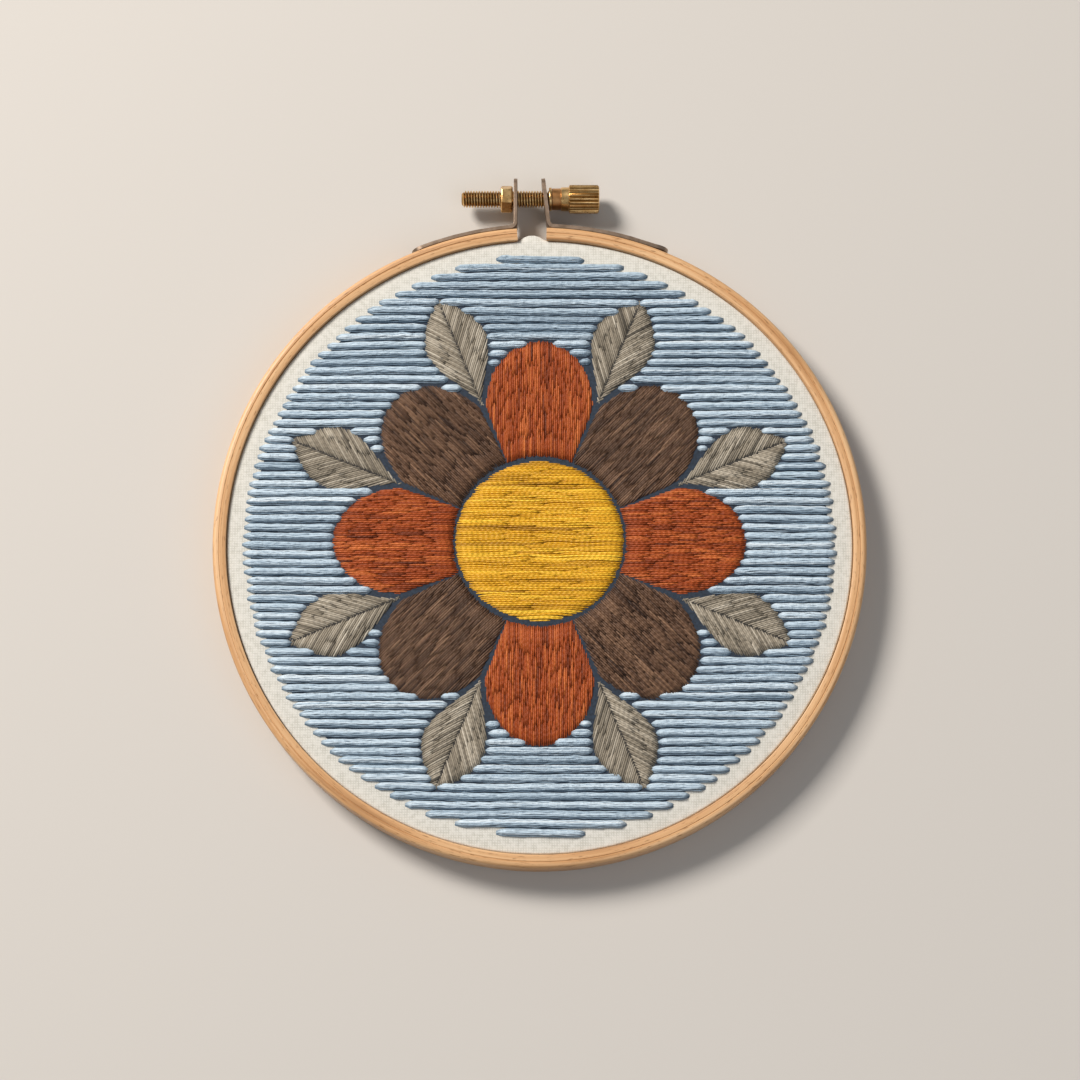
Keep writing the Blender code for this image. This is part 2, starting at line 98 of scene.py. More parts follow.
def linear(hex_colour: str) -> tuple[float, float, float, float]:
    """Turn an sRGB hex colour into linear light.

    Args:
        hex_colour: the colour as "#RRGGBB".

    Returns:
        Red, green, blue and an alpha of 1.
    """
    channels = [int(hex_colour[i : i + 2], 16) / 255 for i in (1, 3, 5)]
    red, green, blue = (
        c / 12.92 if c <= 0.04045 else ((c + 0.055) / 1.055) ** 2.4 for c in channels
    )
    return red, green, blue, 1.0


def cells(size: float) -> float:
    """Turn the size of a pattern's cells, in millimetres, into a texture's scale a metre."""
    return 1000 / size


def feed(tree: bpy.types.NodeTree, node: bpy.types.Node, inputs: dict[Any, Any]) -> None:
    """Set a node's inputs.

    Args:
        tree: the node's tree.
        node: the node.
        inputs: for each socket, by name or number, its value or the output that feeds it.
    """
    for socket, value in inputs.items():
        target = node.inputs[socket]
        if isinstance(value, bpy.types.NodeSocket):
            tree.links.new(value, target)
        else:
            target.default_value = value


def add_node(
    tree: bpy.types.NodeTree,
    kind: str,
    inputs: dict[Any, Any] | None = None,
    output: int | str = 0,
    stops: tuple[tuple[float, str], ...] = (),
    **settings: Any,
) -> bpy.types.NodeSocket:
    """Add a shader node with its settings, its constant inputs and its links.

    Args:
        tree: the node tree to add to.
        kind: the node's type name, without "ShaderNode".
        inputs: for each socket, by name or number, its value or the output that feeds it.
        output: the output that is wanted, by name or number.
        stops: for a colour ramp, the position and hex colour of each stop, in order.
        settings: the node's own properties.

    Returns:
        The wanted output.
    """
    node = tree.nodes.new("ShaderNode" + kind)
    for name, value in settings.items():
        setattr(node, name, value)
    if stops:
        elements = node.color_ramp.elements
        while len(elements) < len(stops):
            elements.new(0.5)
        for element, (position, colour) in zip(elements, stops):
            element.position = position
            element.color = linear(colour)
    feed(tree, node, inputs or {})
    return node.outputs[output]


@dataclass(frozen=True)
class Finish:
    """A surface: what it is made of and how that was worked."""

    name: str
    roughness: float

    def start(self) -> tuple[bpy.types.Material, bpy.types.NodeTree, bpy.types.Node]:
        """Make the material with its plain shader.

        Returns:
            The material, its node tree and its Principled shader.
        """
        material = bpy.data.materials.new(self.name)
        material.use_nodes = True
        tree = material.node_tree
        shader = tree.nodes["Principled BSDF"]
        shader.inputs["Roughness"].default_value = self.roughness
        return material, tree, shader


@dataclass(frozen=True)
class Figure:
    """One layer of a wood's figure: the size of its cells in millimetres, and their detail."""

    length: float
    width: float
    detail: float
    roughness: float = 0.5


@dataclass(frozen=True)
class BentBeech(Finish):
    """Beech strip, steamed and bent: long fine grain along the hoop, small dark flecks."""

    light: str = "#E0B98B"
    middle: str = "#C79868"
    dark: str = "#986C43"
    fleck: str = "#7E5026"
    # Grain bands about 1 mm across, the rays that mark beech, and the slow shift of tone.
    bands: Figure = Figure(55.5556, 1.11111, 5.0, 0.6)
    rays: Figure = Figure(2.38095, 0.277778, 2.0)
    drift: Figure = Figure(40.0, 6.25, 1.0)

    def material(self) -> bpy.types.Material:
        """Build the wood, its grain read from the piece's own "grain" attribute in metres.

        Returns:
            The material.
        """
        material, tree, shader = self.start()
        grain = add_node(tree, "Attribute", output="Vector", attribute_name="grain")
        layers = []
        for figure in (self.bands, self.rays, self.drift):
            scale = (cells(figure.length), cells(figure.width), cells(figure.width))
            place = add_node(tree, "Mapping", {"Vector": grain, "Scale": scale})
            look = {"Vector": place, "Scale": 1.0, "Detail": figure.detail}
            look["Roughness"] = figure.roughness
            layers.append(add_node(tree, "TexNoise", look))
        bands, rays, drift = layers
        slow = add_node(tree, "Math", {0: drift, 1: 0.35}, operation="MULTIPLY")
        tone = add_node(tree, "Math", {0: bands, 1: 0.65, 2: slow}, operation="MULTIPLY_ADD")
        wood = add_node(
            tree,
            "ValToRGB",
            {"Fac": tone},
            stops=((0.32, self.dark), (0.47, self.middle), (0.66, self.light)),
        )
        spots = add_node(
            tree, "MapRange", {"Value": rays, "From Min": 0.60, "From Max": 0.72, "To Max": 0.75}
        )
        mix = {"Factor": spots, 6: wood, 7: linear(self.fleck)}
        colour = add_node(tree, "Mix", mix, 2, data_type="RGBA")
        bump = add_node(tree, "Bump", {"Height": bands, "Strength": 0.35, "Distance": 0.08 * MM})
        look = {"Base Color": colour, "Normal": bump, "Coat Weight": 0.12, "Coat Roughness": 0.35}
        feed(tree, shader, look)
        return material


@dataclass(frozen=True)
class PlainWeave(Finish):
    """White cotton, plain woven: a faint grid of threads, matt with a little sheen."""

    light: str = "#D8D7D0"
    dark: str = "#C0BFB6"
    # Real cotton has a thread every 0.4 mm; 0.62 mm is as fine as the render can show.
    pitch: float = 0.62 * MM
    wander: float = 0.35 * MM
    wander_cells: float = 3.84615
    slub_cells: float = 1.11111

    def material(self) -> bpy.types.Material:
        """Build the cotton from two crossed sets of threads.

        Returns:
            The material.
        """
        material, tree, shader = self.start()
        place = add_node(tree, "TexCoord", output="Object")
        look = {"Vector": place, "Scale": cells(self.wander_cells), "Detail": 2.0}
        wobble = add_node(tree, "TexNoise", look, "Color")
        shift = {0: wobble, 1: (self.wander, self.wander, 0.0), 2: place}
        moved = add_node(tree, "VectorMath", shift, operation="MULTIPLY_ADD")
        # A wave texture's bands are pi / (10 * scale) apart.
        look = {"Vector": moved, "Scale": math.pi / (10 * self.pitch)}
        warp, weft = (
            add_node(tree, "TexWave", look, "Fac", wave_type="BANDS", bands_direction=direction)
            for direction in ("X", "Y")
        )
        weave = add_node(tree, "Math", {0: warp, 1: weft}, operation="MULTIPLY")
        look = {"Vector": place, "Scale": cells(self.slub_cells), "Detail": 3.0}
        slubs = add_node(tree, "TexNoise", look)
        tone = add_node(tree, "Math", {0: weave, 1: 0.45, 2: slubs}, operation="MULTIPLY_ADD")
        stops = ((0.35, self.dark), (0.75, self.light))
        colour = add_node(tree, "ValToRGB", {"Fac": tone}, stops=stops)
        bump = add_node(tree, "Bump", {"Height": tone, "Strength": 0.55, "Distance": 0.12 * MM})
        look = {"Base Color": colour, "Normal": bump, "Sheen Weight": 0.25, "Sheen Roughness": 0.5}
        feed(tree, shader, look)
        return material


@dataclass(frozen=True)
class CottonFloss(Finish):
    """Stranded cotton thread, mercerised: a soft lustre, a twist, a tone for each stitch, and painted
    shade.
    """

    light: str
    middle: str
    dark: str
    wrinkle_cells: float = 0.909091
    relief: float = 0.22 * MM
    ply_share: float = 0.22

    def material(self) -> bpy.types.Material:
        """Build the thread from its piece's attributes for its tone, its painted shade and its twist.

        Returns:
            The material.
        """
        material, tree, shader = self.start()
        tone, depth_and_painted_shade, twist = (
            add_node(tree, "Attribute", output="Fac", attribute_name=name)
            for name in ("tone", "depth_and_painted_shade", "twist")
        )
        stops = ((0.0, self.dark), (0.5, self.middle), (1.0, self.light))
        thread = add_node(tree, "ValToRGB", {"Fac": tone}, stops=stops)
        # Painted shade: the colour is mixed towards the dark where the thread dives or lies low.
        mix = {"Factor": depth_and_painted_shade, 6: thread, 7: linear(self.dark)}
        colour = add_node(tree, "Mix", mix, 2, data_type="RGBA")
        wound = add_node(tree, "Math", {0: twist, 1: math.tau}, operation="MULTIPLY")
        ply = add_node(tree, "Math", {0: wound}, operation="SINE")
        place = add_node(tree, "TexCoord", output="Object")
        # Wrinkles and loose fibres, from 1 or 2 mm down to 0.1 mm across.
        look = {"Vector": place, "Scale": cells(self.wrinkle_cells), "Detail": 5.0, "Roughness": 0.65}
        fibres = add_node(tree, "TexNoise", look)
        raised = {0: ply, 1: self.ply_share, 2: fibres}
        height = add_node(tree, "Math", raised, operation="MULTIPLY_ADD")
        bump = add_node(tree, "Bump", {"Height": height, "Strength": 0.8, "Distance": self.relief})
        feed(tree, shader, {"Base Color": colour, "Normal": bump, "Specular IOR Level": 0.35})
        return material


@dataclass(frozen=True)
class PaintedShadeUnderlay(Finish):
    """Underlay stitches in the same floss, coloured dark as painted shade in the gaps between those
    above, and uneven.
    """

    colour: str
    mottle_cells: float = 0.666667

    def material(self) -> bpy.types.Material:
        """Build the dark, mottled thread colour, painted shade where it shows.

        Returns:
            The material.
        """
        material, tree, shader = self.start()
        place = add_node(tree, "TexCoord", output="Object")
        look = {"Vector": place, "Scale": cells(self.mottle_cells), "Detail": 2.0}
        mottle = add_node(tree, "TexNoise", look)
        tint = {"Value": mottle, "Color": linear(self.colour)}
        feed(tree, shader, {"Base Color": add_node(tree, "HueSaturation", tint)})
        return material


@dataclass(frozen=True)
class TurnedMetal(Finish):
    """Metal with its working marks: turned brass or a plated, handled strip."""

    light: str
    dark: str
    painted_groove_shade: str
    patch_cells: float = 2.38095
    scratch_cells: float = 0.714286
    smoother: float = 0.08
    rougher: float = 0.14

    def material(self) -> bpy.types.Material:
        """Build the metal, scratched finely, tarnished in patches, with painted shade where the
        groove attribute says so.

        Returns:
            The material.
        """
        material, tree, shader = self.start()
        place = add_node(tree, "TexCoord", output="Object")
        look = {"Vector": place, "Scale": cells(self.patch_cells), "Detail": 4.0}
        patches = add_node(tree, "TexNoise", look)
        stops = ((0.3, self.dark), (0.62, self.light))
        clean = add_node(tree, "ValToRGB", {"Fac": patches}, stops=stops)
        groove = add_node(tree, "Attribute", output="Fac", attribute_name="groove")
        # Painted shade: the colour is darkened towards a dark brown where the groove attribute says.
        mix = {"Factor": groove, 6: clean, 7: linear(self.painted_groove_shade)}
        colour = add_node(tree, "Mix", mix, 2, data_type="RGBA")
        look = {"Vector": place, "Scale": cells(self.scratch_cells), "Detail": 3.0}
        marks = add_node(tree, "TexNoise", look)
        limits = {"To Min": self.roughness - self.smoother, "To Max": self.roughness + self.rougher}
        rough = add_node(tree, "MapRange", {"Value": marks, **limits})
        bump = add_node(tree, "Bump", {"Height": marks, "Strength": 0.15, "Distance": 0.03 * MM})
        look = {"Base Color": colour, "Metallic": 1.0, "Roughness": rough, "Normal": bump}
        feed(tree, shader, look)
        return material


def dyed(shade: Shade, worked: str, **look: float) -> list[bpy.types.Material]:
    """Make a floss and the underlay below it.

    Args:
        shade: the floss's colour.
        worked: how it is worked, for its name.
        look: the fields of CottonFloss that differ from its own values.

    Returns:
        The floss's material and the underlay's.
    """
    # Floss has a soft lustre; the underlay between its stitches is dark, as painted shade.
    roughness, light, middle, dark, under = shade.value
    colour = shade.name.lower()
    floss = CottonFloss(f"floss_{colour}_{worked}", roughness, light, middle, dark, **look)
    return [floss.material(), PaintedShadeUnderlay(f"underlay_{colour}", 0.8, under).material()]


def make_piece(
    name: str,
    bm: bmesh.types.BMesh,
    materials: list[bpy.types.Material],
    body: Body,
    sharp_degrees: float,
    node: str,
) -> Piece:
    """Turn a bmesh into a shown piece that stands for a node and rides on a body.

    Args:
        name: the piece's name.
        bm: its shape, which is freed.
        materials: its materials, in the order of the faces' indices.
        body: the body that it rides on.
        sharp_degrees: the angle past which an edge is shaded sharp.
        node: the node that it replaces.

    Returns:
        The new object, at the origin.
    """
    mesh = bpy.data.meshes.new(name)
    bm.to_mesh(mesh)
    bm.free()
    mesh.shade_smooth()
    mesh.set_sharp_from_angle(angle=math.radians(sharp_degrees))
    for material in materials:
        mesh.materials.append(material)
    piece = bpy.data.objects.new(name, mesh)
    bpy.context.scene.collection.objects.link(piece)
    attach(piece, body.value)
    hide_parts(node)
    return piece


def spin_profile(
    bm: bmesh.types.BMesh,
    profile: list[Point],
    centre: Vector,
    start: float,
    sweep: float,
    steps: int,
) -> None:
    """Turn a (radius, height) profile about a vertical axis, capped where the turn is open.

    Args:
        bm: the bmesh to add to.
        profile: the outline, closed unless it starts and ends on the axis.
        centre: a point on the axis.
        start: the starting angle from +X, in radians.
        sweep: the angle turned, clockwise seen from above.
        steps: the number of steps.
    """
    out = Vector((math.cos(start), math.sin(start), 0))
    ring = [bm.verts.new(centre + out * r + Vector((0, 0, z))) for r, z in profile]
    on_axis = profile[0][0] == profile[-1][0] == 0
    following = ring[1:] if on_axis else ring[1:] + ring[:1]
    sides = [bm.edges.new(pair) for pair in zip(ring, following)]
    whole = sweep >= math.tau
    spun = bmesh.ops.spin(
        bm,
        geom=ring + sides,
        cent=centre,
        axis=(0, 0, 1),
        angle=-sweep,
        steps=steps,
        use_merge=whole,
    )
    if not whole:
        last = [item for item in spun["geom_last"] if isinstance(item, bmesh.types.BMVert)]
        bm.faces.new(ring)
        bm.faces.new(last)
    bmesh.ops.remove_doubles(bm, verts=bm.verts, dist=MERGE)
    bmesh.ops.recalc_face_normals(bm, faces=bm.faces)


def arc_points(centre: Point, radius: float, start: float, end: float, steps: int) -> list[Point]:
    """Give points along an arc.

    Args:
        centre: the arc's centre.
        radius: its radius.
        start: its first angle, in radians.
        end: its last angle, in radians.
        steps: how many steps it is cut into.

    Returns:
        The points, one more than the steps.
    """
    angles = [start + (end - start) * i / steps for i in range(steps + 1)]
    return [(centre[0] + radius * math.cos(a), centre[1] + radius * math.sin(a)) for a in angles]


def turned(outline: list[Point], angle: float) -> list[Point]:
    """Turn an outline about the origin.

    Args:
        outline: its points.
        angle: the angle, anticlockwise, in radians.

    Returns:
        The turned points.
    """
    c, s = math.cos(angle), math.sin(angle)
    return [(x * c - y * s, x * s + y * c) for x, y in outline]


def hoop_centre() -> Vector:
    """Find the hoop's centre at the height of its back, from the inner hoop's box."""
    low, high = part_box("inner_hoop")
    return Vector(((low[0] + high[0]) / 2, (low[1] + high[1]) / 2, 0.0))


@dataclass
class WoodenHoop:
    """The split outer hoop and the closed inner one."""

    rounding: float = 1.1 * MM
    back_rounding: float = 0.8 * MM
    edge: float = 0.25 * MM
    groove_inset: float = 1.45 * MM
    groove_width: float = 0.3 * MM
    groove_depth: float = 0.15 * MM
    wall: float = 3.3 * MM
    inner_wall: float = 4.0 * MM
    split_left: float = -5.6 * MM
    split_right: float = 1.7 * MM
    joint_gap: float = 0.05 * MM
    steps: int = 288
    sharp_degrees: float = 40

    def grain(self, piece: Piece, centre: Vector, start: float, radius: float) -> None:
        """Store where each point lies along the bent strip, so that the grain follows it.

        Args:
            piece: the hoop.
            centre: the hoop's centre.
            start: the angle at which the strip starts, in radians.
            radius: the strip's middle radius.
        """
        layer = piece.data.attributes.new("grain", "FLOAT_VECTOR", "POINT")
        values: list[float] = []
        for vertex in piece.data.vertices:
            out = vertex.co - centre
            along = (start - math.atan2(out.y, out.x) + MERGE) % math.tau
            values += [along * radius, math.hypot(out.x, out.y), vertex.co.z]
        layer.data.foreach_set("vector", values)

    def outer(self, beech: bpy.types.Material) -> Piece:
        """Build the outer hoop, with its rounded edge, its groove and its split.

        Args:
            beech: its finish.

        Returns:
            The hoop.
        """
        centre = hoop_centre()
        low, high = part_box("outer_hoop")
        radius = (high[0] - low[0]) / 2
        height = high[2] - low[2]
        bore = radius - self.wall
        groove = radius - self.groove_inset
        quarter = math.pi / 2
        top = (radius - self.rounding, height - self.rounding)
        back = (radius - self.back_rounding, self.back_rounding)
        profile = [
            (bore + self.edge, 0.0),
            (bore, self.edge),
            (bore, height - self.edge),
            (bore + self.edge * 0.3, height - self.edge * 0.3),
            (bore + self.edge, height),
            (groove - self.groove_width, height),
            (groove - self.groove_width * 0.6, height - self.groove_depth),
            (groove - self.groove_width * 0.4, height - self.groove_depth),
            (groove, height),
            *arc_points(top, self.rounding, quarter, 0, 6),
            *arc_points(back, self.back_rounding, 0, -quarter, 4),
        ]
        middle = radius - self.wall / 2
        right = math.asin(self.split_right / middle)
        left = math.asin(-self.split_left / middle)
        start = quarter - right
        bm = bmesh.new()
        spin_profile(bm, profile, centre, start, math.tau - right - left, self.steps)
        hoop = make_piece(
            "outer_hoop_beech", bm, [beech], Body.HOOP, self.sharp_degrees, "outer_hoop"
        )
        self.grain(hoop, centre, start, middle)
        return hoop

    def inner(self, beech: bpy.types.Material) -> Piece:
        """Build the inner hoop, whose ends meet in a hairline joint.

        Args:
            beech: its finish.

        Returns:
            The hoop.
        """
        centre = hoop_centre()
        low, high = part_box("inner_hoop")
        outside = (high[0] - low[0]) / 2
        top = high[2]
        bore = outside - self.inner_wall
        profile = [
            (bore + self.edge, 0.0),
            (bore, self.edge),
            (bore, top - self.edge),
            (bore + self.edge, top),
            (outside - self.edge, top),
            (outside, top - self.edge),
            (outside, self.edge),
            (outside - self.edge, 0.0),
        ]
        middle = outside - self.inner_wall / 2
        start = -math.pi / 2
        bm = bmesh.new()
        spin_profile(bm, profile, centre, start, math.tau - self.joint_gap / middle, self.steps)
        hoop = make_piece(
            "inner_hoop_beech", bm, [beech], Body.HOOP, self.sharp_degrees, "inner_hoop"
        )
        self.grain(hoop, centre, start, middle)
        return hoop

    def build(self) -> list[Piece]:
        """Build both hoops in beech.

        Returns:
            The outer hoop and the inner one.
        """
        # Bent, then sanded smooth: an even tan with a faint gloss.
        beech = BentBeech("bent_beech_sanded", 0.46).material()
        return [self.outer(beech), self.inner(beech)]


@dataclass
class StretchedCotton:
    """The ground cloth, drum-tight over the inner hoop and down between the two hoops."""

    thickness: float = 0.5 * MM
    roll: float = 0.55 * MM
    clearance: float = 0.12 * MM
    wall: float = 3.3 * MM
    # A ring of points near the rim keeps the shading of the flat face even.
    rim_share: float = 0.94
    side_step: float = 3.0 * MM
    swell: float = 1.6 * MM
    swell_half_width: float = 3.5 * MM
    swell_power: float = 0.8
    split_middle: float = -1.95 * MM
    steps: int = 360
    sharp_degrees: float = 50

    def build(self) -> list[Piece]:
        """Build the cloth as one thin sheet, swollen where the hoop's ends part.

        Returns:
            The cloth.
        """
        low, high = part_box("outer_hoop")
        side = (high[0] - low[0]) / 2 - self.wall - self.clearance
        low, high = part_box("cloth")
        top, hem = high[2], low[2]
        centre = hoop_centre()
        inside = side - self.thickness
        under = top - self.thickness
        profile = [
            (0.0, top),
            (side * self.rim_share, top),
            *arc_points((side - self.roll, top - self.roll), self.roll, math.pi / 2, 0, 5),
            (side, top - self.side_step),
            (side, hem),
            (inside, hem),
            (inside, under - self.roll),
            (inside - self.roll, under),
            (inside * self.rim_share, under),
            (0.0, under),
        ]
        bm = bmesh.new()
        spin_profile(bm, profile, centre, math.pi / 2, math.tau, self.steps)
        for vertex in bm.verts:
            out = vertex.co - centre
            across = abs(out.x - self.split_middle) / self.swell_half_width
            flat = math.hypot(out.x, out.y)
            if out.y > 0 and across < 1 and flat > inside - self.roll * 1.5:
                share = math.cos(across * math.pi / 2) ** self.swell_power
                depth_and_painted_shade = min(1.0, (top - vertex.co.z) / self.roll)
                step = self.swell * share * depth_and_painted_shade
                vertex.co.x += out.x / flat * step
                vertex.co.y += out.y / flat * step
        # Drum-tight plain weave: off-white and matt, its threads just showing.
        weave = PlainWeave("cotton_plain_weave", 0.88).material()
        cloth = make_piece(
            "cloth_cotton", bm, [weave], Body.HOOP, self.sharp_degrees, "cloth"
        )
        return [cloth]


@dataclass
class Clamp:
    """The brass screw, nut and washer, and the strips whose ears they draw together."""

    pitch: float = 0.7 * MM
    thread_depth: float = 0.48 * MM
    thread_radius: float = 2.1 * MM
    thread_steps: int = 32
    spare_turns: int = 3
    collar_radius: float = 3.0 * MM
    waist_depth: float = 0.28 * MM
    collar_start: float = 3.1 * MM
    darkened_end: float = 5.3 * MM
    step_length: float = 0.15 * MM
    taper: float = 1.0 * MM
    neck: float = 0.1 * MM
    head_start: float = 7.36 * MM
    ridge_depth: float = 0.3 * MM
    ridges: int = 24
    valley_painted_shade: float = 0.9
    chamfer: float = 0.22 * MM
    soft_edge: float = 0.09 * MM
    thread_overlap: float = 0.4 * MM
    sharp_degrees: float = 30
    screw_sharp_degrees: float = 28

    def refined(self, node: str, body: Body, material: bpy.types.Material) -> Piece:
        """Replace a node by a copy of it with merged points and soft edges.

        Args:
            node: the node's name.
            body: the body that it rides on.
            material: its finish.

        Returns:
            The finer piece.
        """
        bm = bmesh.new()
        bm.from_mesh(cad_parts[node].data)
        bmesh.ops.remove_doubles(bm, verts=bm.verts, dist=MERGE)
        flat = math.radians(2)
        bmesh.ops.dissolve_limit(bm, angle_limit=flat, verts=bm.verts, edges=bm.edges)
        name = f"{node}_metal"
        piece = make_piece(name, bm, [material], body, self.sharp_degrees, node)
        bevel = piece.modifiers.new("soft_edges", "BEVEL")
        bevel.width = self.soft_edge
        bevel.segments = 2
        bevel.limit_method = "ANGLE"
        bevel.angle_limit = math.radians(40)
        return piece

    def lay_along_x(
        self, shape: bmesh.types.BMesh, bm: bmesh.types.BMesh, start: Vector
    ) -> None:
        """Turn a shape made along +Z so that it runs along +X, and add it to the screw.

        Args:
            shape: the shape, which is freed.
            bm: the screw's bmesh.
            start: where the shape's origin goes.
        """
        for vertex in shape.verts:
            x, y, z = vertex.co
            vertex.co = start + Vector((z, y, -x))
        bmesh.ops.recalc_face_normals(shape, faces=shape.faces)
        part = bpy.data.meshes.new("part")
        shape.to_mesh(part)
        shape.free()
        bm.from_mesh(part)
        bpy.data.meshes.remove(part)

    def thread(self, bm: bmesh.types.BMesh, tip: float, end: float, axis: Vector) -> None:
        """Cut a right-hand thread along +X.

        Args:
            bm: the bmesh to add to.
            tip: where the thread starts, along X.
            end: where it ends, inside the collar.
            axis: a point on the screw's axis.
        """
        shape = bmesh.new()
        crest = self.thread_radius
        root = crest - self.thread_depth
        turns = math.ceil((end - tip) / self.pitch) + self.spare_turns
        # One pitch: a narrow root, a flank, a wider worn crest, and a flank.
        wave = ((0.0, root), (0.12, root), (0.38, crest), (0.76, crest))
        before = self.spare_turns / 2
        points = [(x + turn - before, r) for turn in range(turns) for x, r in wave]
        line = [shape.verts.new((r, 0, x * self.pitch)) for x, r in points]
        edges = [shape.edges.new(pair) for pair in zip(line, line[1:])]
        bmesh.ops.spin(
            shape,
            geom=line + edges,
            cent=(0, 0, 0),
            axis=(0, 0, 1),
            angle=math.tau,
            steps=self.thread_steps,
            dvec=(0, 0, self.pitch / self.thread_steps),
        )
        bmesh.ops.remove_doubles(shape, verts=shape.verts, dist=MERGE)
        # Painted shade: the groove attribute is 1 at the thread's roots and 0 on its crests.
        groove = shape.verts.layers.float.new("groove")
        for vertex in shape.verts:
            above = math.hypot(vertex.co.x, vertex.co.y) - root
            vertex[groove] = 1 - above / self.thread_depth
        for height, outwards in ((0.0, -1), (end - tip, 1)):
            cut = bmesh.ops.bisect_plane(
                shape,
                geom=shape.verts[:] + shape.edges[:] + shape.faces[:],
                plane_co=(0, 0, height),
                plane_no=(0, 0, outwards),
                clear_outer=True,
            )
            rim = [item for item in cut["geom_cut"] if isinstance(item, bmesh.types.BMEdge)]
            bmesh.ops.edgeloop_fill(shape, edges=rim)
        # The tip is chamfered at 45 degrees.
        for vertex in shape.verts:
            widest = root - self.thread_depth / 2 + vertex.co.z
            reach = math.hypot(vertex.co.x, vertex.co.y)
            if reach > widest:
                vertex.co.x *= widest / reach
                vertex.co.y *= widest / reach
        self.lay_along_x(shape, bm, axis + Vector((tip, 0, 0)))

    def turned_head(self, bm: bmesh.types.BMesh, end: float, radius: float, axis: Vector) -> None:
        """Turn the collar and the ridged head about the screw's axis.

        Args:
            bm: the bmesh to add to.
            end: the head's far face, along X.
            radius: the radius over its ridges.
            axis: a point on the screw's axis.
        """
        valley = radius - self.ridge_depth
        waist = self.collar_radius - self.waist_depth
        half = self.chamfer / 2
        # Each ring's place along the screw, its radius on the ridges and in the valleys.
        rings = [
            (self.collar_start, waist - self.chamfer, waist - self.chamfer),
            (self.collar_start + half, waist, waist),
            (self.darkened_end, waist, waist),
            (self.darkened_end + self.step_length, self.collar_radius, self.collar_radius),
            (self.head_start - self.taper, self.collar_radius, self.collar_radius),
            (self.head_start - self.neck, valley - self.chamfer, valley - self.chamfer),
            (self.head_start, valley - half, valley - half),
            (self.head_start + self.chamfer, radius, valley),
            (end - 2 * self.chamfer, radius, valley),
            (end - self.chamfer, radius - half, valley),
            (end, valley - self.chamfer, valley - self.chamfer),
            (end, valley - 2 * self.chamfer, valley - 2 * self.chamfer),
        ]
        # Two points on each ridge, two in each valley.
        count = 4 * self.ridges
        shape = bmesh.new()
        groove = shape.verts.layers.float.new("groove")
        bmesh.ops.create_circle(shape, cap_ends=False, segments=count, radius=1.0)
        edges = shape.edges[:]
        first = last = None
        for number, (x, ridge, hollow) in enumerate(rings):
            if number:
                grown = bmesh.ops.extrude_edge_only(shape, edges=edges)["geom"]
                verts = {item for item in grown if isinstance(item, bmesh.types.BMVert)}
                edges = [
                    item
                    for item in grown
                    if isinstance(item, bmesh.types.BMEdge) and verts.issuperset(item.verts)
                ]
            last = {v for e in edges for v in e.verts}
            first = first or last
            for vertex in last:
                angle = math.atan2(vertex.co.y, vertex.co.x)
                place = round(angle / math.tau * count) % 4
                reach = ridge if place < 2 else hollow
                # Painted shade darkens the valleys between the ridges.
                vertex[groove] = self.valley_painted_shade if reach < ridge else 0.0
                vertex.co = (reach * math.cos(angle), reach * math.sin(angle), x)
        for rim in (first, last):
            ends = [e for e in shape.edges if rim.issuperset(e.verts)]
            bmesh.ops.edgeloop_fill(shape, edges=ends)
        self.lay_along_x(shape, bm, axis)

    def screw(self, brass: bpy.types.Material) -> Piece:
        """Build the screw, the first part of its collar darkened by heat.

        Args:
            brass: the finish of the rest.

        Returns:
            The screw.
        """
        # Brass that was heated: coppery, darker and duller than the rest of the screw.
        darkened = TurnedMetal("brass_heat_darkened", 0.36, "#CC9A66", "#9A6C42", "#5E3A1C")
        low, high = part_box("screw")
        axis = Vector((0.0, (low[1] + high[1]) / 2, (low[2] + high[2]) / 2))
        bm = bmesh.new()
        bm.verts.layers.float.new("groove")
        self.thread(bm, low[0], self.collar_start + self.thread_overlap, axis)
        self.turned_head(bm, high[0], (high[1] - low[1]) / 2, axis)
        for face in bm.faces:
            along = face.calc_center_median().x
            face.material_index = int(self.collar_start - MERGE < along < self.darkened_end)
        metals = [brass, darkened.material()]
        sharp = self.screw_sharp_degrees
        return make_piece("screw_brass", bm, metals, Body.SCREW, sharp, "screw")

    def build(self) -> list[Piece]:
        """Build the clamp's metal.

        Returns:
            The screw, the nut, the washer and the two strips.
        """
        # Brass from the lathe: bright and warm, with brown painted shade in the roots of its thread
        # and between its ridges.
        brass = TurnedMetal("brass_turned", 0.27, "#EFCB90", "#C99C5E", "#8E6430").material()
        # Thin plated steel, often handled: a dull warm grey.
        strip = TurnedMetal("steel_strip_plated", 0.38, "#A59180", "#8C7968", "#4A3A2C").material()
        return [
            self.screw(brass),
            self.refined("nut", Body.NUT, brass),
            self.refined("washer", Body.HOOP, brass),
            self.refined("bracket_left", Body.HOOP, strip),
            self.refined("bracket_right", Body.HOOP, strip),
        ]


